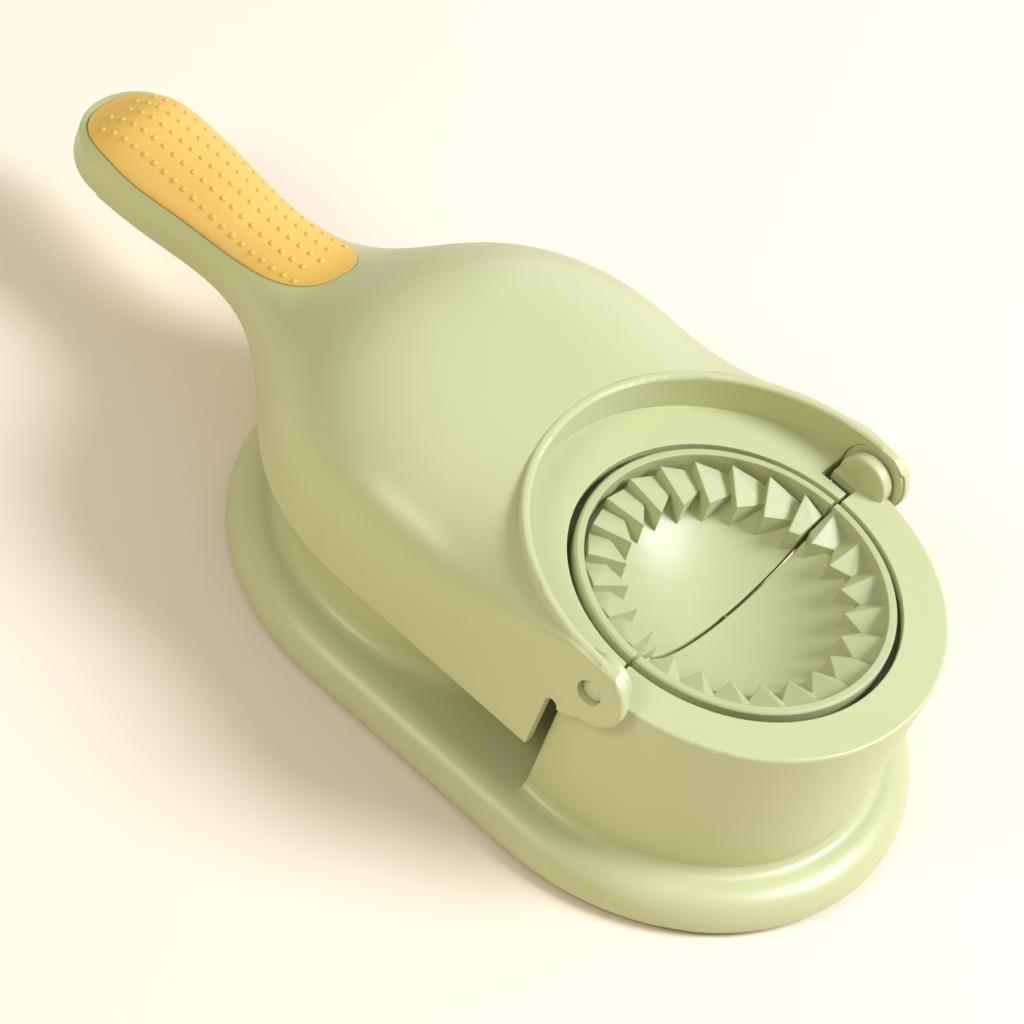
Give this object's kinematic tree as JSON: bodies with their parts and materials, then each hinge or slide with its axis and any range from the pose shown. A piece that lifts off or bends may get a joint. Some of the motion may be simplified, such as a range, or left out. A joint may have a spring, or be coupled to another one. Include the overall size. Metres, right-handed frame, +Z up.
{
  "type": "dumpling press",
  "caption": "Hand dumpling press: rounded base with a drum and a dough platform, and a hinged domed lever with a padded grip that flattens dough and folds a toothed mould shut.",
  "frame": {"origin": "middle of the overall box at table level, under the feet", "axes": "+X along the hinge axis to the right, +Y from the mould towards the grip, +Z up from the table"},
  "size_m": [0.124, 0.267, 0.0688],
  "materials": {
    "green_plastic": "satin pale pistachio green moulded plastic",
    "grip_yellow": "soft golden yellow grip with small raised dots",
    "foot_rubber": "matt grey-green rubber",
    "pin_plastic": "smooth pale green plastic",
    "screw_steel": "plain steel"
  },
  "bodies": {
    "base": {"base_shell": "green_plastic", "base_cover": "green_plastic", "cover_screws": "screw_steel", "foot_front_left": "foot_rubber", "foot_front_right": "foot_rubber", "foot_rear_left": "foot_rubber", "foot_rear_right": "foot_rubber", "front_mould": "green_plastic", "front_mould_screws": "screw_steel", "pin_left": "pin_plastic", "pin_right": "pin_plastic"},
    "lever": {"lever_shell": "green_plastic", "grip_pad": "grip_yellow", "grip_cover": "green_plastic", "grip_cover_screws": "screw_steel", "rear_mould": "green_plastic", "rear_mould_screws": "screw_steel", "press_plate": "green_plastic", "press_plate_screws": "screw_steel"}
  },
  "joints": [
    {"name": "handle_fold", "type": "hinge", "parent": "base", "child": "lever", "pos_m": [0, -0.0715, 0.0592], "axis": [1, 0, 0], "range_deg": [0, 180]}
  ]
}
